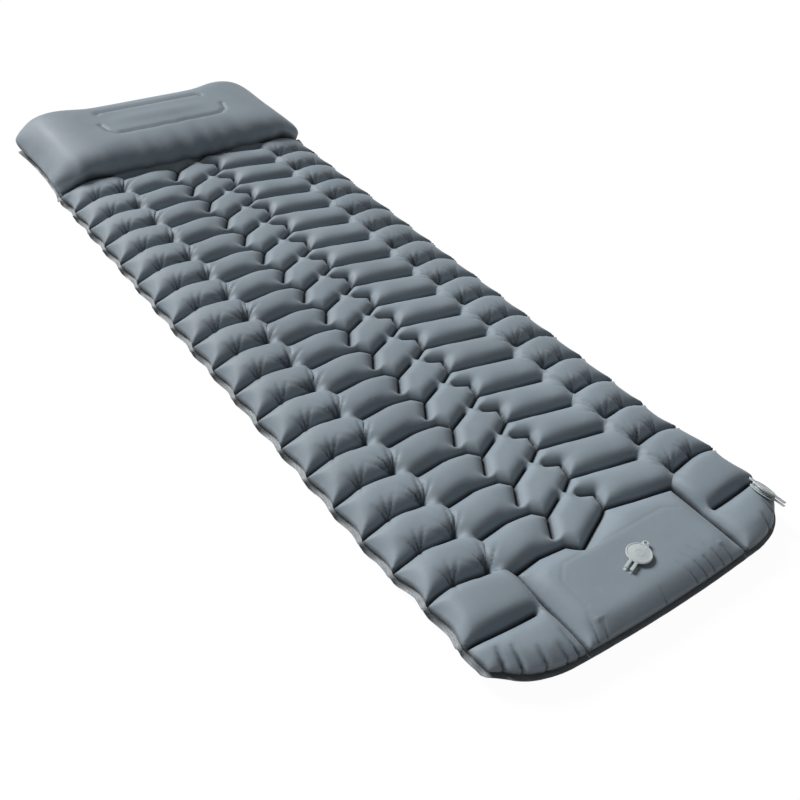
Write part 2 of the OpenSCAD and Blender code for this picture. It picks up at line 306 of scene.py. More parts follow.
def sheet_plan(outline, strokes, step, seed):
    """Points, triangles and which points are welded, for a flat sheet cut to outline."""
    index, edges = {}, []

    def number(p):
        return index.setdefault((round(p[0], 2), round(p[1], 2)), len(index))

    lines = [closed(outline)] + strokes
    for stroke in lines:
        for a, b in zip(stroke, stroke[1:]):
            line = [number(p) for p in spaced(a, b, step)]
            edges += list(zip(line, line[1:]))
    welded = len(index)
    loop = np.array(outline)
    rng = np.random.default_rng(seed)
    low, high = loop.min(0), loop.max(0)
    rise = step * math.sqrt(3) / 2
    lattice = np.array([(low[0] + (i + j % 2 / 2) * step, low[1] + j * rise)
                        for j in range(int((high[1] - low[1]) / rise) + 1)
                        for i in range(int((high[0] - low[0]) / step) + 1)])
    lattice += rng.normal(0, 0.05 * step, lattice.shape)
    lattice = lattice[distance_to(lattice, lines) > 0.62 * step]
    plan = [Vector(p) for p in index] + [Vector(p) for p in lattice]
    co, _, faces, source, _, _ = delaunay_2d_cdt(plan, edges, [], 1, 1e-4)
    pinned = np.array([any(k < welded for k in s) for s in source])
    return np.array(co), [tuple(f) for f in faces], pinned


# ---------------------------------------------------------------- blowing up a sheet

def read_points(mesh):
    co = np.zeros(len(mesh.vertices) * 3)
    mesh.vertices.foreach_get("co", co)
    return co.reshape(-1, 3)


def write_points(mesh, co):
    mesh.vertices.foreach_set("co", np.ascontiguousarray(co, dtype=np.float32).ravel())
    mesh.update()


def new_piece(name, co, faces):
    """A mesh object from points in metres, with its faces upwards."""
    mesh = bpy.data.meshes.new(name)
    mesh.from_pydata([tuple(p) for p in co], [], faces)
    mesh.update()
    up = sum(p.normal.z * p.area for p in mesh.polygons)
    if up < 0:
        mesh.flip_normals()
    piece = bpy.data.objects.new(name, mesh)
    bpy.context.scene.collection.objects.link(piece)
    return piece


def flat_cut(plan, wide, long, end_from, end_extra):
    """Where each point lies in the flat cloth, which is wider and longer than the plan.

    end_extra mm more cloth is left at both ends beyond end_from from the middle."""
    x, y = plan.T
    along = np.clip((np.abs(x) - end_from) / (weld_x() - end_from), 0, 1)
    cut_x = x * wide + eased(along, np.sign(x) * end_extra)
    middle = y.mean()
    return np.column_stack([cut_x, middle + (y - middle) * long])


def blow_up(name, plan, faces, pinned, dome, cut, pressure, frames):
    """Blows a flat cut of cloth up between its welds. plan is where the welds end up, in mm.

    The welds of the larger cut are drawn together as the air goes in, as they are on a real
    pad. Returns the points in mm."""
    start = np.column_stack([cut, dome * 0.3])
    end = np.column_stack([plan, dome])
    piece = new_piece(name, start * MM, faces)
    group = piece.vertex_groups.new(name="welds")
    group.add([int(i) for i in np.nonzero(pinned)[0]], 1, "REPLACE")
    piece.shape_key_add(name="Basis")
    drawn = piece.shape_key_add(name="drawn")
    drawn.data.foreach_set("co", (end * MM).astype(np.float32).ravel())
    drawn.value = 0
    drawn.keyframe_insert("value", frame=1)
    drawn.value = 1
    drawn.keyframe_insert("value", frame=int(frames * 0.6))
    cloth = piece.modifiers.new("cloth", "CLOTH")
    cloth.collision_settings.use_collision = False
    cloth.point_cache.frame_end = frames + 1
    s = cloth.settings
    s.quality = 5
    s.mass = 0.002
    s.air_damping = 3
    s.tension_stiffness, s.compression_stiffness, s.shear_stiffness = 200, 1, 1
    s.bending_stiffness = 0.2
    s.tension_damping = s.compression_damping = s.shear_damping = 5
    s.use_pressure = True
    s.uniform_pressure_force = pressure
    s.vertex_group_mass = "welds"
    s.effector_weights.gravity = 0
    scene = bpy.context.scene
    for f in range(1, frames + 1):
        scene.frame_set(f)
    shown = piece.evaluated_get(bpy.context.evaluated_depsgraph_get())
    co = read_points(shown.data) / MM
    scene.frame_set(1)
    mesh = piece.data
    bpy.data.objects.remove(piece)
    bpy.data.meshes.remove(mesh)
    return co


def relax(co, faces, free, rounds, share):
    """Evens the points out, each towards the mean of its neighbours."""
    edges = {tuple(sorted((f[i], f[i - 1]))) for f in faces for i in range(3)}
    a, b = np.array(sorted(edges)).T
    count = np.bincount(np.r_[a, b], minlength=len(co)).astype(float)[:, None]
    for _ in range(rounds):
        total = np.zeros_like(co)
        np.add.at(total, a, co[b])
        np.add.at(total, b, co[a])
        co = np.where(free[:, None], co + (total / count - co) * share, co)
    return co


def finish_sheet(name, co, faces, welds, level=1):
    """A smooth piece from blown-up points in mm, with the distance to its welds stored on it for
    the painted shade along them.
    """
    piece = new_piece(name, co * MM, faces)
    select_only(piece)
    bpy.ops.object.modifier_add(type="SUBSURF")
    smooth = piece.modifiers[-1]
    smooth.levels = smooth.render_levels = level
    bpy.ops.object.modifier_apply(modifier=smooth.name)
    bpy.ops.object.shade_smooth()
    store_seam_and_shade_mark(piece, welds)
    return piece


def store_seam_and_shade_mark(piece, welds):
    """Stores 1 on a weld, falling to 0 at 8 mm from it, for the material to darken: a little for
    the seam's own darker tone, mostly as painted shade in the groove beside it.
    """
    near = distance_to(read_points(piece.data)[:, :2] / MM, welds)
    seam_and_shade_mark = piece.data.attributes.new("weld", "FLOAT", "POINT")
    seam_and_shade_mark.data.foreach_set("value", np.clip(1 - near / 8, 0, 1).astype(np.float32))


def add_crease_shade(piece, groove):
    """Adds creases to what is stored of the welds, so that painted shade darkens them too."""
    seam_and_shade_mark = piece.data.attributes["weld"].data
    stored = np.zeros(len(seam_and_shade_mark))
    seam_and_shade_mark.foreach_get("value", stored)
    seam_and_shade_mark.foreach_set("value", np.maximum(stored, 0.8 * groove).astype(np.float32))


def select_only(*pieces):
    bpy.ops.object.select_all(action="DESELECT")
    for piece in pieces:
        piece.select_set(True)
    bpy.context.view_layer.objects.active = pieces[0]


def paint(piece, material):
    piece.data.materials.clear()
    piece.data.materials.append(material)


# ---------------------------------------------------------------- materials

def fresh_material(name, colour, roughness):
    """A new material with its Principled shader, and the Object coordinates."""
    material = bpy.data.materials.new(name)
    material.use_nodes = True
    material.diffuse_color = colour
    tree = material.node_tree
    shader = tree.nodes["Principled BSDF"]
    shader.inputs["Base Color"].default_value = colour
    shader.inputs["Roughness"].default_value = roughness
    place = tree.nodes.new("ShaderNodeTexCoord")
    return material, tree, shader, place.outputs["Object"]


def add_node(tree, kind, **values):
    """A node of that kind, with its inputs set by name, underscores standing for spaces."""
    node = tree.nodes.new(kind)
    for name, value in values.items():
        node.inputs[name.replace("_", " ")].default_value = value
    return node


def value_ramp(tree, value, low, high, to_low=0.0, to_high=1.0):
    """value, mapped from low..high to to_low..to_high and held at the ends."""
    ramp = add_node(tree, "ShaderNodeMapRange", From_Min=low, From_Max=high, To_Min=to_low,
                    To_Max=to_high)
    tree.links.new(value, ramp.inputs["Value"])
    return ramp.outputs["Result"]


def mix_colour(tree, factor, a, b, mode="MIX"):
    """The Mix node's result of colours a and b, each a socket or a colour."""
    node = tree.nodes.new("ShaderNodeMix")
    node.data_type = "RGBA"
    node.blend_type = mode
    for socket, value in ((node.inputs["Factor"], factor), (node.inputs[6], a),
                          (node.inputs[7], b)):
        if isinstance(value, bpy.types.NodeSocket):
            tree.links.new(value, socket)
        else:
            socket.default_value = value
    return node.outputs[2]


def group_of(name, inputs, outputs):
    """A new shader node group with float inputs and outputs, and its two end nodes."""
    tree = bpy.data.node_groups.new(name, "ShaderNodeTree")
    for label, kind, value in inputs:
        socket = tree.interface.new_socket(label, in_out="INPUT", socket_type=kind)
        if value is not None:
            socket.default_value = value
    for label, kind in outputs:
        tree.interface.new_socket(label, in_out="OUTPUT", socket_type=kind)
    return tree, tree.nodes.new("NodeGroupInput"), tree.nodes.new("NodeGroupOutput")


def weave_group():
    """A plain weave: crossed threads along X and Y, with a soft grain of uneven threads."""
    if "plain weave" in bpy.data.node_groups:
        return bpy.data.node_groups["plain weave"]
    tree, source, result = group_of(
        "plain weave", [("Place", "NodeSocketVector", None), ("Threads", "NodeSocketFloat", 900.0)],
        [("Height", "NodeSocketFloat"), ("Grain", "NodeSocketFloat")])
    waves = []
    for axis in ("X", "Y"):
        wave = add_node(tree, "ShaderNodeTexWave", Distortion=0.6, Detail=1.0)
        wave.bands_direction = axis
        tree.links.new(source.outputs["Place"], wave.inputs["Vector"])
        tree.links.new(source.outputs["Threads"], wave.inputs["Scale"])
        waves.append(wave.outputs["Fac"])
    both = tree.nodes.new("ShaderNodeMath")
    both.operation = "MULTIPLY"
    tree.links.new(waves[0], both.inputs[0])
    tree.links.new(waves[1], both.inputs[1])
    grain = add_node(tree, "ShaderNodeTexNoise", Scale=700.0, Detail=3.0, Roughness=0.6)
    tree.links.new(source.outputs["Place"], grain.inputs["Vector"])
    tree.links.new(both.outputs[0], result.inputs["Height"])
    tree.links.new(grain.outputs["Fac"], result.inputs["Grain"])
    return tree


def crinkle_group():
    """Fine creases of coated cloth and slow patches of colour."""
    if "cloth crinkle" in bpy.data.node_groups:
        return bpy.data.node_groups["cloth crinkle"]
    tree, source, result = group_of(
        "cloth crinkle", [("Place", "NodeSocketVector", None)],
        [("Creases", "NodeSocketFloat"), ("Patches", "NodeSocketFloat")])
    creases = add_node(tree, "ShaderNodeTexNoise", Scale=38.0, Detail=5.0, Roughness=0.55,
                       Distortion=0.7)
    patches = add_node(tree, "ShaderNodeTexNoise", Scale=5.0, Detail=3.0, Roughness=0.5)
    for texture, name in ((creases, "Creases"), (patches, "Patches")):
        tree.links.new(source.outputs["Place"], texture.inputs["Vector"])
        tree.links.new(texture.outputs["Fac"], result.inputs[name])
    return tree


def use_group(tree, group, place, **values):
    node = tree.nodes.new("ShaderNodeGroup")
    node.node_tree = group
    tree.links.new(place, node.inputs["Place"])
    for name, value in values.items():
        node.inputs[name].default_value = value
    return node


def add_bump(tree, shader, layers):
    """Chains Bump nodes into Normal. layers are (height, strength, distance in metres)."""
    normal = None
    for height, strength, distance in layers:
        bump = add_node(tree, "ShaderNodeBump", Strength=strength, Distance=distance)
        tree.links.new(height, bump.inputs["Height"])
        if normal:
            tree.links.new(normal, bump.inputs["Normal"])
        normal = bump.outputs["Normal"]
    tree.links.new(normal, shader.inputs["Normal"])


def fabric_material(name="coated nylon", shade=1.0, welds=True):
    """Coated nylon: a fine weave under a satin coat, with painted shade along the welds and in the
    creases, of which a weld's own darker tone is only a small part.
    """
    if name in bpy.data.materials:
        return bpy.data.materials[name]
    base = tuple(c * shade for c in finish_colour("fabric")[:3]) + (1,)
    material, tree, shader, place = fresh_material(name, base, 0.55)
    shader.inputs["Specular IOR Level"].default_value = 0.25
    shader.inputs["Sheen Weight"].default_value = 0.12
    shader.inputs["Sheen Roughness"].default_value = 0.45
    weave = use_group(tree, weave_group(), place)
    cloth = use_group(tree, crinkle_group(), place)
    patches = value_ramp(tree, cloth.outputs["Patches"], 0.35, 0.65)
    light = tuple(c * 1.07 for c in base[:3]) + (1,)
    dark = tuple(c * 0.92 for c in base[:3]) + (1,)
    colour = mix_colour(tree, patches, dark, light)
    grain = value_ramp(tree, weave.outputs["Grain"], 0.3, 0.7, 0.0, 0.22)
    colour = mix_colour(tree, grain, colour, tuple(c * 0.72 for c in base[:3]) + (1,))
    rough = value_ramp(tree, cloth.outputs["Patches"], 0.3, 0.7, 0.5, 0.62)
    # painted shade: the weld and crease mark darkens the colour to 0.12 of the fabric's
    if welds:
        seam_and_shade_mark = tree.nodes.new("ShaderNodeAttribute")
        seam_and_shade_mark.attribute_name = "weld"
        seam_and_shade_share = value_ramp(tree, seam_and_shade_mark.outputs["Fac"], 0.3, 0.85, 0.0, 0.94)
        colour = mix_colour(tree, seam_and_shade_share, colour, tuple(c * 0.12 for c in base[:3]) + (1,))
    tree.links.new(colour, shader.inputs["Base Color"])
    tree.links.new(rough, shader.inputs["Roughness"])
    add_bump(tree, shader, [(cloth.outputs["Creases"], 0.22, 0.0022),
                            (weave.outputs["Height"], 0.12, 0.0002)])
    return material


def rim_material():
    """The pressed rim: paler cloth with rows of small dots left by the welding tool."""
    name = "pressed rim"
    if name in bpy.data.materials:
        return bpy.data.materials[name]
    base = finish_colour("rim")
    material, tree, shader, place = fresh_material(name, base, 0.5)
    cloth = use_group(tree, crinkle_group(), place)
    dots = add_node(tree, "ShaderNodeTexVoronoi", Scale=330.0, Randomness=0.15)
    tree.links.new(place, dots.inputs["Vector"])
    dot = value_ramp(tree, dots.outputs["Distance"], 0.28, 0.5)
    pale = mix_colour(tree, value_ramp(tree, cloth.outputs["Patches"], 0.35, 0.65),
                      tuple(c * 0.86 for c in base[:3]) + (1,), base)
    colour = mix_colour(tree, dot, tuple(c * 0.5 for c in base[:3]) + (1,), pale)
    tree.links.new(colour, shader.inputs["Base Color"])
    add_bump(tree, shader, [(cloth.outputs["Creases"], 0.3, 0.002), (dot, 0.4, 0.0004)])
    return material


def valve_material(ribbed=False):
    """Soft moulded plastic with a fine spark grain, or with fine ribs for a finger's grip."""
    name = "ribbed valve plastic" if ribbed else "valve plastic"
    if name in bpy.data.materials:
        return bpy.data.materials[name]
    base = finish_colour("valve")
    material, tree, shader, place = fresh_material(name, base, 0.42)
    shader.inputs["Subsurface Weight"].default_value = 0.05
    grain = add_node(tree, "ShaderNodeTexNoise", Scale=1400.0, Detail=2.0)
    haze = add_node(tree, "ShaderNodeTexNoise", Scale=60.0, Detail=3.0)
    for texture in (grain, haze):
        tree.links.new(place, texture.inputs["Vector"])
    shade = value_ramp(tree, haze.outputs["Fac"], 0.35, 0.7)
    colour = mix_colour(tree, shade, tuple(c * 0.93 for c in base[:3]) + (1,),
                        tuple(min(1, c * 1.06) for c in base[:3]) + (1,))
    tree.links.new(colour, shader.inputs["Base Color"])
    tree.links.new(value_ramp(tree, haze.outputs["Fac"], 0.3, 0.7, 0.36, 0.5),
                   shader.inputs["Roughness"])
    layers = [(grain.outputs["Fac"], 0.15, 0.0001)]
    if ribbed:
        ribs = add_node(tree, "ShaderNodeTexWave", Scale=170.0)
        ribs.bands_direction = "X"
        tree.links.new(place, ribs.inputs["Vector"])
        layers.append((ribs.outputs["Fac"], 0.7, 0.0006))
    add_bump(tree, shader, layers)
    return material


def flap_material():
    """Milky silicone of the one-way flaps."""
    name = "flap silicone"
    if name in bpy.data.materials:
        return bpy.data.materials[name]
    base = (0.62, 0.63, 0.60, 1)
    material, tree, shader, place = fresh_material(name, base, 0.35)
    haze = add_node(tree, "ShaderNodeTexNoise", Scale=90.0, Detail=2.0)
    tree.links.new(place, haze.inputs["Vector"])
    colour = mix_colour(tree, haze.outputs["Fac"], (0.55, 0.56, 0.53, 1), base)
    tree.links.new(colour, shader.inputs["Base Color"])
    add_bump(tree, shader, [(haze.outputs["Fac"], 0.1, 0.0003)])
    return material


def foam_material():
    """Open-cell foam of the pump."""
    name = "pump foam"
    if name in bpy.data.materials:
        return bpy.data.materials[name]
    base = finish_colour("foam")
    material, tree, shader, place = fresh_material(name, base, 0.9)
    cells = add_node(tree, "ShaderNodeTexVoronoi", Scale=450.0)
    tree.links.new(place, cells.inputs["Vector"])
    # painted shade in the pores: their centres darken to 0.45 of the foam's colour
    pore = value_ramp(tree, cells.outputs["Distance"], 0.1, 0.5)
    tree.links.new(mix_colour(tree, pore, tuple(c * 0.45 for c in base[:3]) + (1,), base),
                   shader.inputs["Base Color"])
    add_bump(tree, shader, [(pore, 0.6, 0.001)])
    return material


# ---------------------------------------------------------------- the pieces

def dome_over(plan, welds, height, reach):
    """A first rounded height over the welds, in mm."""
    near = np.minimum(1, distance_to(plan, welds) / reach)
    return height * np.sqrt(np.maximum(0, 1 - (1 - near) ** 2))


def closed(outline):
    """The outline with its first point again at its end."""
    return list(outline) + [outline[0]]


def soft_top(z, start, room):
    """Heights above start pressed into the room mm over it."""
    over = np.maximum(z - start, 0)
    return np.minimum(z, start) + room * (1 - np.exp(-over / room))


def draw_in_edges(co, reach):
    """Pulls the long edges in between the weld ends, over reach mm, and lets them hang.

    It rounds the foot's corners too."""
    pull, lift = edge_shift(co[:, 1])
    pull = np.where((co[:, 0] > 0) & (co[:, 1] < PILLOW_Y), 1.3, 1) * pull
    share = np.clip(1 - (weld_x() - np.abs(co[:, 0])) / reach, 0, 1) ** 2
    corner = np.hypot(weld_x() - np.abs(co[:, 0]), co[:, 1] - foot_weld_y(weld_x()))
    rounded = np.exp(-(corner / CORNER_REACH) ** 2)
    co = co.copy()
    co[:, 0] -= np.sign(co[:, 0]) * (pull * share + CORNER_IN * rounded)
    co[:, 1] += CORNER_UP * rounded
    co[:, 2] += lift * share - droop(co)
    return co


def bulge_out(co, full, push):
    """Lets the cells' ends swell out over the rim, by push mm where they are half of full high."""
    swell = push * np.sin(math.pi * np.clip((co[:, 2] - WELD_Z) / full, 0, 1))
    side = np.exp(-((weld_x() - np.abs(co[:, 0])) / 18) ** 2)
    from_foot = co[:, 1] - np.array([foot_weld_y(x) for x in co[:, 0]])
    co[:, 0] += np.sign(co[:, 0]) * swell * side
    co[:, 1] -= swell * np.exp(-(from_foot / 18) ** 2)


def press_creases(co, creases, depth, width):
    """Presses narrow creases, given as strokes in mm. Short ones fade towards their far ends.

    Returns how deep each point lies in a crease, from 0 to 1."""
    groove = np.zeros(len(co))
    for stroke in creases:
        near = distance_to(co[:, :2], [stroke])
        start, end = np.array(stroke[0], float), np.array(stroke[-1], float)
        along = np.hypot(*(co[:, :2] - start).T) / max(np.hypot(*(end - start)), 1)
        fade = np.clip(1.25 - along, 0.15, 1) if len(stroke) < 4 else 1
        groove = np.maximum(groove, np.exp(-(near / width) ** 2) * fade)
    co[:, 2] -= depth * groove
    return groove


def crisp_welds(co, welds, bulge):
    """Lets the cloth stand steeply on both sides of every weld, bulge mm high."""
    d = np.clip(distance_to(co[:, :2], welds) - 0.5, 0, bulge)
    side = np.sqrt(d * (2 * bulge - d))
    rise = np.maximum(co[:, 2] - WELD_Z, 0)
    co[:, 2] = WELD_Z + (rise ** 6 + side ** 6) ** (1 / 6)


def pucker_stars(co):
    """Presses creases into the cloth that fan out from each star weld.

    Returns how deep each point lies in a crease, from 0 to 1."""
    groove = np.zeros(len(co))
    rng = np.random.default_rng(11)
    depth = sizes().pucker
    for k in range(ROWS):
        for side in (-1, 1):
            centre = np.array([side * STAR_X, row_y(k)])
            angles = np.array([42, 66, 84, 124, 146, 262, 345]) + rng.normal(0, 6, 7)
            strength = rng.uniform(0.55, 1, 7) * [1, 1, 0.8, 1, 1, 0.4, 0.4]
            if side < 0:
                angles = 180 - angles
            offset = co[:, :2] - centre
            r = np.hypot(*offset.T)
            close = r < 60
            if not close.any():
                continue
            theta = np.degrees(np.arctan2(offset[close, 1], offset[close, 0]))
            sink = np.zeros(close.sum())
            for angle, share in zip(angles, strength):
                turn = (theta - angle + 180) % 360 - 180
                across = np.radians(turn) * r[close]
                length = 15 + 12 * share
                along = np.exp(-((r[close] - 15) / length) ** 2)
                sink += share * along * np.exp(-(across / 2.7) ** 2) * (np.abs(turn) < 60)
            groove[close] = np.maximum(groove[close], np.minimum(sink, 1))
    co[:, 2] -= depth * groove
    return groove


def foot_folds(folds):
    """The strokes of the short folds that start at the foot's weld."""
    return [[(x, foot_weld_y(x)), (x + lean, foot_weld_y(x) + reach)] for x, lean, reach in folds]


def make_cells():
    """The upper sheet of the mat, blown up into rows of cells."""
    step = sizes().cloth_step
    outline, strokes = cell_outline(), cell_welds()
    welds = strokes + [closed(outline)]
    plan, faces, pinned = sheet_plan(outline, strokes, step, seed=3)
    dome = dome_over(plan, welds, height=12, reach=40)
    cut = flat_cut(plan, wide=1.09, long=1.35, end_from=STAR_X, end_extra=28)
    necks = np.clip((np.abs(plan[:, 0]) - 165) / 80, 0, 1)
    cut[:, 0] += eased(necks, np.sign(plan[:, 0]) * 12)
    co = blow_up("cell sheet cut", plan, faces, pinned, dome, cut, sizes().pressure, frames=26)
    co = relax(co, faces, ~pinned, rounds=2, share=0.3)
    flat_from = 0.75 * CELL_HIGH
    co[:, 2] = WELD_Z + soft_top(co[:, 2], flat_from, CELL_HIGH - flat_from)
    piece = finish_sheet("cell_top", co, faces, welds)
    points = read_points(piece.data) / MM
    crisp_welds(points, welds, bulge=25)
    groove = pucker_stars(points)
    rows = [(side, row_y(k)) for k in range(ROWS) for side in (-1, 1)]
    arms = [[(side * STAR_X, y), (side * (STAR_X - 7), y + 24), (side * (STAR_X - 15), y + 48)]
            for side, y in rows]
    pits = [[(side * PIT[0], y + PIT[1]), (side * fold_x, y + fold_y)]
            for side, y in rows for fold_x, fold_y in PIT_FOLDS]
    fold_groove = press_creases(points, foot_folds(CELL_FOLDS), depth=9, width=3.6)
    arm_groove = press_creases(points, arms, depth=7, width=2.8)
    pit_groove = press_creases(points, pits, depth=3.4, width=2.6)
    # painted shade in the star puckers, foot folds, arms and pits, through the weld mark
    add_crease_shade(piece, np.max([groove, fold_groove, arm_groove, pit_groove], axis=0))
    bulge_out(points, full=34, push=8)
    write_points(piece.data, draw_in_edges(points, reach=60) * MM)
    paint(piece, fabric_material())
    return piece


def make_underside():
    """The lower sheet: grooved at the welds and flat where it lies on the floor."""
    outline = whole_outline()
    strokes = cell_welds() + [
        [(x, ROW_0 + y) for x, y in PUMP_HEAD],
        [(-PUMP_X, ROW_0 + PUMP_HEAD[0][1]), (-PUMP_X, foot_weld_y(PUMP_X))],
        [(PUMP_X, ROW_0 + PUMP_HEAD[-1][1]), (PUMP_X, foot_weld_y(PUMP_X))],
        [(-weld_x(), PILLOW_Y), (weld_x(), PILLOW_Y)]]
    welds = strokes + [closed(outline)]
    plan, faces, _ = sheet_plan(outline, strokes, step=13, seed=5)
    groove_reach = 33
    near = np.minimum(1, distance_to(plan, welds) / groove_reach)
    depth = (WELD_Z - 1) * np.sqrt(1 - (1 - near) ** 2)
    co = np.column_stack([plan, WELD_Z - 1 - depth])
    co[:, 2] = co[:, 2] * (1 - droop(co) / WELD_Z) + droop(co)
    co = draw_in_edges(co, reach=60)
    floor_gap = 0.4
    co[:, 2] = np.maximum(co[:, 2], floor_gap)
    piece = finish_sheet("cell_underside", co, faces, welds)
    piece.data.flip_normals()
    paint(piece, fabric_material())
    return piece


def pillow_dome(plan):
    """A rounded share of the pillow's height, low at its corners and full in the middle."""
    share = np.ones(len(plan))
    for inside, reach in ((weld_x() - np.abs(plan[:, 0]), 140), (plan[:, 1] - PILLOW_Y, 78),
                          (head_weld_y() - plan[:, 1], 78)):
        near = np.clip(inside / reach, 0, 1)
        share *= np.sqrt(near * (2 - near))
    return share


def make_pillow():
    """The raised pillow, with two short welds that make a shallow channel."""
    edge, head = weld_x(), head_weld_y()
    outline = [(-edge, PILLOW_Y), (edge, PILLOW_Y), (edge, head), (-edge, head)]
    tacks = [[(-150, PILLOW_Y + line[2][1]), (150, PILLOW_Y + line[2][1])]
             for line in (NEAR_LINE, FAR_LINE)]
    plan, faces, pinned = sheet_plan(outline, tacks, sizes().cloth_step + 1, seed=7)
    welds = [closed(outline)]
    on_channel = distance_to(plan, tacks) < 0.1
    dome = dome_over(plan, welds, height=74, reach=110)
    dome[on_channel] = 82
    dome[pinned & ~on_channel] = 0
    cut = flat_cut(plan, wide=1.03, long=1.3, end_from=190, end_extra=34)
    soft = sizes().pressure * 0.6
    co = blow_up("pillow cut", plan, faces, pinned, dome, cut, soft, frames=26)
    co = relax(co, faces, ~pinned, rounds=2, share=0.3)
    top = np.percentile(co[:, 2], 99.5)
    co[:, 2] = WELD_Z + co[:, 2] * (PILLOW_TOP - WELD_Z) / top
    level = 0.96 * (PILLOW_TOP - WELD_Z) * pillow_dome(plan)
    co[:, 2] = np.maximum(co[:, 2], WELD_Z + level)
    crisp_welds(co, welds, bulge=24)
    co = relax(co, faces, distance_to(plan, welds) > 1, rounds=4, share=0.5)
    co[:, 2] += PILLOW_TOP - co[:, 2].max()
    co[:, 2] = np.maximum(co[:, 2], WELD_Z)
    co[distance_to(plan, welds) < 1, 2] = WELD_Z
    piece = finish_sheet("pillow_top", co, faces, welds)
    points = read_points(piece.data) / MM
    channels = [[(x, PILLOW_Y + y) for x, y in line] for line in (NEAR_LINE, FAR_LINE)]
    groove = press_creases(points, channels, depth=4, width=6)
    rise = (points[:, 2] - WELD_Z) / (PILLOW_TOP - WELD_Z)
    front = np.clip(1 - (points[:, 1] - PILLOW_Y) / 110, 0, 1)
    folds = np.array([noise.noise(Vector((x / 34, 0.2, 0))) for x in points[:, 0]])
    belly = 24 + 24 * np.clip(1 - (points[:, 0] / 300) ** 2, 0, 1)
    lean = np.sin(0.5 * math.pi * np.clip(rise * 1.7, 0, 1))
    back = np.clip((points[:, 1] - HALF_L + 100) / 85, 0, 1)
    bulge_out(points, full=PILLOW_TOP - WELD_Z, push=20)
    points = draw_in_edges(points, reach=90)
    points[:, 1] -= front * (belly * lean + 13 * folds * lean)
    points[:, 1] += 42 * back ** 0.8 * np.sin(0.5 * math.pi * np.clip(rise * 1.5, 0, 1))
    write_points(piece.data, points * MM)
    # painted shade along the pillow's two pressed lines
    add_crease_shade(piece, 0.75 * groove ** 2)
    paint(piece, fabric_material())
    return piece


def over_foam(plan, welds):
    """How high the cloth lies over the pump, from 0 at its weld to 1 on the flat panel."""
    round_r = 26
    half = np.array([PANEL_HIGH.x, (PANEL_HIGH.y - PANEL_LOW.y) / 2]) - round_r
    off = np.maximum(np.abs(plan - [0, PANEL_Y]) - half, 0)
    outside = np.maximum(np.hypot(*off.T) - round_r, 0)
    inside = distance_to(plan, welds)
    share = inside / np.maximum(inside + outside, 0.01)
    return 1 - (1 - share) ** 2.3


def on_panel(points, margin):
    """Which points lie over the treading panel, margin mm inside its edges."""
    half = [PANEL_HIGH.x - margin, (PANEL_HIGH.y - PANEL_LOW.y) / 2 - margin]
    return (np.abs(points[:, :2] - [0, PANEL_Y]) <= half).all(1)


def ring(radius, count):
    """Points round the intake valve, on the treading panel."""
    turns = np.linspace(0, 2 * math.pi, count + 1)[:-1]
    return [(radius * math.cos(a), PANEL_Y + radius * math.sin(a)) for a in turns]


def make_pump_cushion():
    """The pump's cushion: cloth over a foam block, flat where the foot treads."""
    outline = pump_outline()
    rings = [closed(ring(PATCH_R, 24)), closed(ring(THROAT_R, 16))]
    plan, faces, pinned = sheet_plan(outline, rings, step=7, seed=9)
    height = PANEL_Z - WELD_Z
    on_valve = np.hypot(plan[:, 0], plan[:, 1] - PANEL_Y) < PATCH_R + 1
    pinned |= on_valve
    welds = [closed(outline)]
    dome = over_foam(plan, welds) * height
    cut = flat_cut(plan, wide=1.05, long=1.16, end_from=100, end_extra=0)
    soft = sizes().pressure * 0.7
    co = blow_up("pump cushion cut", plan, faces, pinned, dome, cut, soft, frames=24)
    co = relax(co, faces, ~pinned, rounds=2, share=0.3)
    puff = soft_top(co[:, 2], height - 4, 4.5)
    co[:, 2] = np.maximum(puff, over_foam(co[:, :2], welds) * height + 0.5)
    co[on_valve, 2] = height
    co = relax(co, faces, ~pinned, rounds=7, share=0.5)
    over = on_panel(co, margin=3)
    co[over, 2] = np.maximum(co[over, 2], height - 0.5)
    co[:, 2] = WELD_Z + np.maximum(co[:, 2], 0)
    hole = [f for f in faces
            if np.hypot(co[list(f), 0].mean(), co[list(f), 1].mean() - PANEL_Y) > THROAT_R - 0.2]
    piece = finish_sheet("pump_cushion", co, hole, welds)
    points = read_points(piece.data) / MM
    groove = press_creases(points, foot_folds(PUMP_FOLDS), depth=3, width=2.8)
    crisp_welds(points, welds, bulge=20)
    bulge_out(points, full=32, push=7)
    half = PANEL_HIGH.x - 6
    edge = [(half, PANEL_Y + 40), (half - 26, PANEL_Y + 55), (26 - half, PANEL_Y + 55),
            (-half, PANEL_Y + 30), (-half, PANEL_Y - 30)]
    line = press_creases(points, [edge], depth=0.7, width=2.4)
    over = on_panel(points, margin=1)
    points[over, 2] = np.maximum(points[over, 2], PANEL_Z - 0.7)
    # painted shade in the cushion's folds and, lighter, along the panel's edge
    add_crease_shade(piece, np.maximum(groove * 0.9, line * 0.3))
    write_points(piece.data, points * MM)
    paint(piece, fabric_material())
    return piece


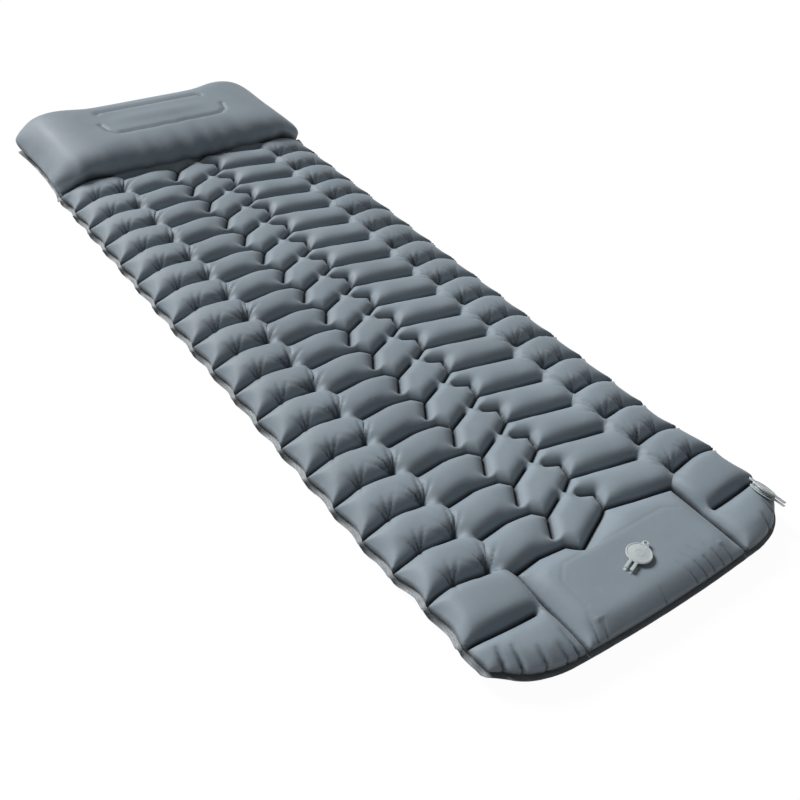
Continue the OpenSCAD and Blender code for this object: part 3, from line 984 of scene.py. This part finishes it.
def make_rim():
    """The flat welded rim all round, which kinks at the end of every row of welds."""
    width = sizes().rim_width
    outline = whole_outline()
    path = []
    for a, b in zip(outline, outline[1:] + outline[:1]):
        path += spaced(a, b, 5)[:-1]
    path = np.array(path)
    ahead = np.roll(path, -1, 0) - np.roll(path, 1, 0)
    ahead /= np.linalg.norm(ahead, axis=1)[:, None]
    out = np.column_stack([ahead[:, 1], -ahead[:, 0]])
    co = np.column_stack([path, np.full(len(path), WELD_Z - 0.5)])
    inner = draw_in_edges(co, reach=60)
    columns = []
    across = [-0.12, 0.18, 0.6, 1.0]
    phase = ((path[:, 1] - ROW_0 - 2) / sizes().row_pitch + 0.5) % 1 - 0.5
    on_side = (np.abs(out[:, 0]) > 0.9) & (path[:, 1] < PILLOW_Y + 10)
    kink = np.exp(-(phase / 0.07) ** 2) * on_side
    for share in across:
        ripple = np.array([noise.noise(Vector((x / 23, y / 23, share))) for x, y in path])
        line = inner.copy()
        line[:, :2] += out * (width * share * (1 + 0.12 * ripple))[:, None]
        line[:, 2] += max(share, 0) * (3.0 * ripple + 4.0 * kink - 5.0 * (1 - kink) * on_side - 1)
        columns.append(line)
    n, m = len(path), len(columns)
    faces = [(j * n + i, j * n + (i + 1) % n, (j + 1) * n + (i + 1) % n, (j + 1) * n + i)
             for j in range(m - 1) for i in range(n)]
    piece = new_piece("rim_band", np.vstack(columns) * MM, faces)
    select_only(piece)
    bpy.ops.object.modifier_add(type="SOLIDIFY")
    wall = piece.modifiers[-1]
    wall.thickness = 1.4 * MM
    wall.offset = 0
    bpy.ops.object.modifier_apply(modifier=wall.name)
    bpy.ops.object.shade_smooth_by_angle(angle=math.radians(50))
    paint(piece, rim_material())
    return piece


def soften_node(node, name, width):
    """A copy of a moulded CAD part with its edges rounded."""
    piece = NODES[node].copy()
    piece.data = NODES[node].data.copy()
    piece.name = piece.data.name = name
    piece.parent = None
    for key in list(piece.keys()):
        del piece[key]
    bpy.context.scene.collection.objects.link(piece)
    select_only(piece)
    bpy.ops.object.mode_set(mode="EDIT")
    bpy.ops.mesh.select_all(action="SELECT")
    bpy.ops.mesh.remove_doubles(threshold=0.00002)
    bpy.ops.mesh.dissolve_limited(angle_limit=math.radians(1.5))
    bpy.ops.object.mode_set(mode="OBJECT")
    bpy.ops.object.modifier_add(type="BEVEL")
    bevel = piece.modifiers[-1]
    bevel.width = width
    bevel.segments = 3
    bevel.limit_method = "ANGLE"
    bevel.angle_limit = math.radians(40)
    bpy.ops.object.modifier_apply(modifier=bevel.name)
    bpy.ops.object.shade_smooth_by_angle(angle=math.radians(35))
    paint(piece, valve_material())
    return piece


def add_beads(piece, seat, beads):
    """Joins raised beads to a cap that sits on seat."""
    added = []
    for along, height, radius, width in beads:
        bpy.ops.object.select_all(action="DESELECT")
        bpy.ops.mesh.primitive_torus_add(
            major_segments=56, minor_segments=8, major_radius=radius * MM, minor_radius=width * MM)
        bead = bpy.context.object
        bead.matrix_world = seat @ Matrix.Translation((along * MM, 0, height * MM))
        bpy.ops.object.transform_apply(location=True, rotation=True, scale=True)
        added.append(bead)
    select_only(piece, *added)
    bpy.ops.object.join()
    bpy.ops.object.shade_smooth_by_angle(angle=math.radians(35))


def place_on(piece, source, body, *nodes):
    """Attaches the piece to what it rides on and hides the CAD nodes it stands for; source, its
    finish, is not used.
    """
    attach(piece, body)
    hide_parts(*nodes)
    return piece


class PAD_OT_cells(bpy.types.Operator):
    """Blow up the mat's upper sheet and make the lower one"""
    bl_idname = "pad.cells"
    bl_label = "Cells"

    def execute(self, context):
        top = place_on(make_cells(), "pad_fabric", "mat", "top_sheet")
        low = place_on(make_underside(), "pad_fabric", "mat", "bottom_sheet")
        return {"FINISHED"}


class PAD_OT_pillow(bpy.types.Operator):
    """Blow up the pillow"""
    bl_idname = "pad.pillow"
    bl_label = "Pillow"

    def execute(self, context):
        place_on(make_pillow(), "pad_fabric", "mat", "pillow_panel")
        return {"FINISHED"}


class PAD_OT_pump(bpy.types.Operator):
    """Lay the pump's cloth over its foam"""
    bl_idname = "pad.pump"
    bl_label = "Pump cushion"

    def execute(self, context):
        cushion = place_on(make_pump_cushion(), "pad_fabric", "mat", "pump_skirt", "pump_panel")
        foam = soften_node("pump_foam", "foam_block", 0.0012)
        paint(foam, foam_material())
        place_on(foam, "pump_foam", "mat", "pump_foam")
        for piece in (cushion, foam):
            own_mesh(piece)
        return {"FINISHED"}


class PAD_OT_rim(bpy.types.Operator):
    """Make the welded rim"""
    bl_idname = "pad.rim"
    bl_label = "Rim"

    def execute(self, context):
        rim = make_rim()
        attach(rim, "mat")
        return {"FINISHED"}


class PAD_OT_valves(bpy.types.Operator):
    """Round the edges of the valves' moulded parts"""
    bl_idname = "pad.valves"
    bl_label = "Valves"

    def execute(self, context):
        parts = [("intake", "cap", "intake_cap"), ("intake", "leash", "pump_top"),
                 ("intake", "collar", "pump_top"), ("corner", "cap", "corner_cap"),
                 ("corner", "leash", "mat"), ("corner", "collar", "mat"),
                 ("corner", "patch", "mat")]
        for valve, part, body in parts:
            node = f"{valve}_{part}"
            piece = soften_node(node, f"{node}_moulded", 0.0004)
            if part == "cap":
                add_beads(piece, VALVE_SEATS[valve], CAP_BEADS)
                paint(piece, valve_material(ribbed=valve == "corner"))
            place_on(piece, "valve_plastic", body, node)
        return {"FINISHED"}


class PAD_OT_inner_parts(bpy.types.Operator):
    """Give the CAD parts inside the pad their finish"""
    bl_idname = "pad.inner_parts"
    bl_label = "Inner parts"

    def execute(self, context):
        for name, node in NODES.items():
            if node.hide_render:
                continue
            if name.endswith("flap"):
                paint(node, flap_material())
            elif name == "pump_floor":
                paint(node, fabric_material("inner nylon", 0.85, welds=False))
            else:
                paint(node, valve_material())
        return {"FINISHED"}


class PAD_OT_stage(bpy.types.Operator):
    """Set the floor and the soft lights"""
    bl_idname = "pad.stage"
    bl_label = "Stage"

    def execute(self, context):
        scene = context.scene
        bpy.ops.object.select_all(action="DESELECT")
        bpy.ops.mesh.primitive_plane_add(size=1500, location=(0, 0, 0))
        floor = context.object
        floor.name = "floor"
        material, tree, shader, place = fresh_material("studio floor", (0.93, 0.93, 0.93, 1), 0.9)
        haze = add_node(tree, "ShaderNodeTexNoise", Scale=0.6)
        tree.links.new(place, haze.inputs["Vector"])
        tree.links.new(mix_colour(tree, haze.outputs["Fac"], (0.92, 0.92, 0.92, 1),
                                  (0.95, 0.95, 0.95, 1)), shader.inputs["Base Color"])
        glow = add_node(tree, "ShaderNodeEmission", Strength=1.02)
        seen = tree.nodes.new("ShaderNodeLightPath")
        share = value_ramp(tree, seen.outputs["Is Camera Ray"], 0, 1, 0, 0.95)
        both = tree.nodes.new("ShaderNodeMixShader")
        tree.links.new(share, both.inputs["Fac"])
        tree.links.new(shader.outputs["BSDF"], both.inputs[1])
        tree.links.new(glow.outputs["Emission"], both.inputs[2])
        tree.links.new(both.outputs["Shader"], tree.nodes["Material Output"].inputs["Surface"])
        paint(floor, material)
        world = bpy.data.worlds.new("studio")
        scene.world = world
        world.use_nodes = True
        sky = world.node_tree.nodes["Background"]
        sky.inputs["Color"].default_value = (1, 1, 1, 1)
        sky.inputs["Strength"].default_value = 0.19
        lamp = bpy.data.lights.new("key", "SUN")
        lamp.energy = 3.9
        lamp.angle = math.radians(24)
        key = bpy.data.objects.new("key", lamp)
        scene.collection.objects.link(key)
        key.rotation_euler = SUN_FALL.to_track_quat("-Z", "Y").to_euler()
        scene.view_settings.view_transform = "Standard"
        return {"FINISHED"}


class PAD_OT_camera(bpy.types.Operator):
    """Set the camera"""
    bl_idname = "pad.camera"
    bl_label = "Camera"

    def execute(self, context):
        data = bpy.data.cameras.new("camera")
        camera = bpy.data.objects.new("camera", data)
        context.scene.collection.objects.link(camera)
        context.scene.camera = camera
        data.lens = 43.97
        data.sensor_width = 36
        camera.location = CAMERA_PLACE
        right = CAMERA_RIGHT.normalized()
        forward = CAMERA_FORWARD.normalized()
        up = right.cross(forward)
        camera.rotation_mode = "QUATERNION"
        camera.rotation_quaternion = Matrix((right, up, -forward)).transposed().to_quaternion()
        return {"FINISHED"}


class PAD_PT_panel(bpy.types.Panel):
    """The pad's pieces, sizes and colours"""
    bl_idname = "PAD_PT_panel"
    bl_label = "Sleeping pad"
    bl_space_type = "VIEW_3D"
    bl_region_type = "UI"
    bl_category = "Sleeping pad"

    def draw(self, context):
        for owner in (context.scene.pad_sizes, context.scene.pad_finish):
            for name in owner.__annotations__:
                self.layout.prop(owner, name)
        for step in STEPS:
            self.layout.operator(step.bl_idname)


STEPS = (PAD_OT_camera, PAD_OT_stage, PAD_OT_cells, PAD_OT_pillow, PAD_OT_pump, PAD_OT_rim,
         PAD_OT_valves, PAD_OT_inner_parts)
CLASSES = (PadSizes, PadFinish) + STEPS + (PAD_PT_panel,)


def register():
    for cls in CLASSES:
        bpy.utils.register_class(cls)
    bpy.types.Scene.pad_sizes = bpy.props.PointerProperty(type=PadSizes)
    bpy.types.Scene.pad_finish = bpy.props.PointerProperty(type=PadFinish)


def unregister():
    del bpy.types.Scene.pad_finish
    del bpy.types.Scene.pad_sizes
    for cls in reversed(CLASSES):
        bpy.utils.unregister_class(cls)


def main():
    register()
    for step in STEPS:
        group, name = step.bl_idname.split(".")
        getattr(getattr(bpy.ops, group), name)()


if __name__ == "__main__":
    main()
